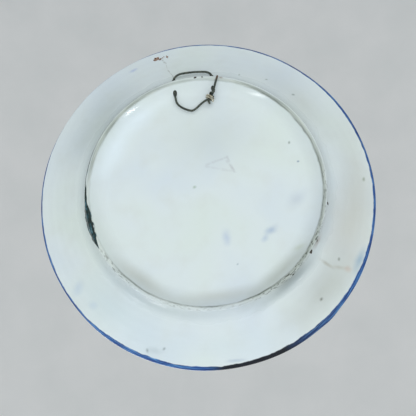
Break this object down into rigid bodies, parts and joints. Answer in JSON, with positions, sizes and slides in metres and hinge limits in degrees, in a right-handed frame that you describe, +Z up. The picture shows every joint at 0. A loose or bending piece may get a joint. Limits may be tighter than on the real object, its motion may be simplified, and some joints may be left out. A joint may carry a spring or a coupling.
{
  "type": "hand painted wall plate",
  "caption": "Round glazed earthenware plate with a wide sloping flange, a pierced foot ring and a loose wire hanger threaded through it for hanging on a wall.",
  "frame": {"origin": "where a nail bears on the underside of the wire loop, at the middle of the loop, with the plate hanging and the wire slack", "axes": "+Z up as the plate hangs, +Y towards the wall along the plate's own axis, so the foot ring faces +Y and the painted front faces -Y; +X to the right seen from the painted front"},
  "size_m": [0.3, 0.0376, 0.3],
  "materials": {
    "glazed_earthenware": "glossy bluish white tin glaze over reddish clay, cobalt blue brushed edge, hand painted front",
    "iron_wire": "dark drawn iron wire with an oxide skin and a little rust at its cut end",
    "tinned_wire": "soft tinned wire, dull and yellowed"
  },
  "bodies": {
    "plate": {"plate_body": "glazed_earthenware"},
    "hanger": {"hanger_wire": "iron_wire", "tie_wire": "tinned_wire"}
  },
  "joints": [
    {"name": "hanger_pull", "type": "slide", "parent": "plate", "child": "hanger", "axis": [0, 0, 1], "range_m": [0, 0.0038]}
  ]
}
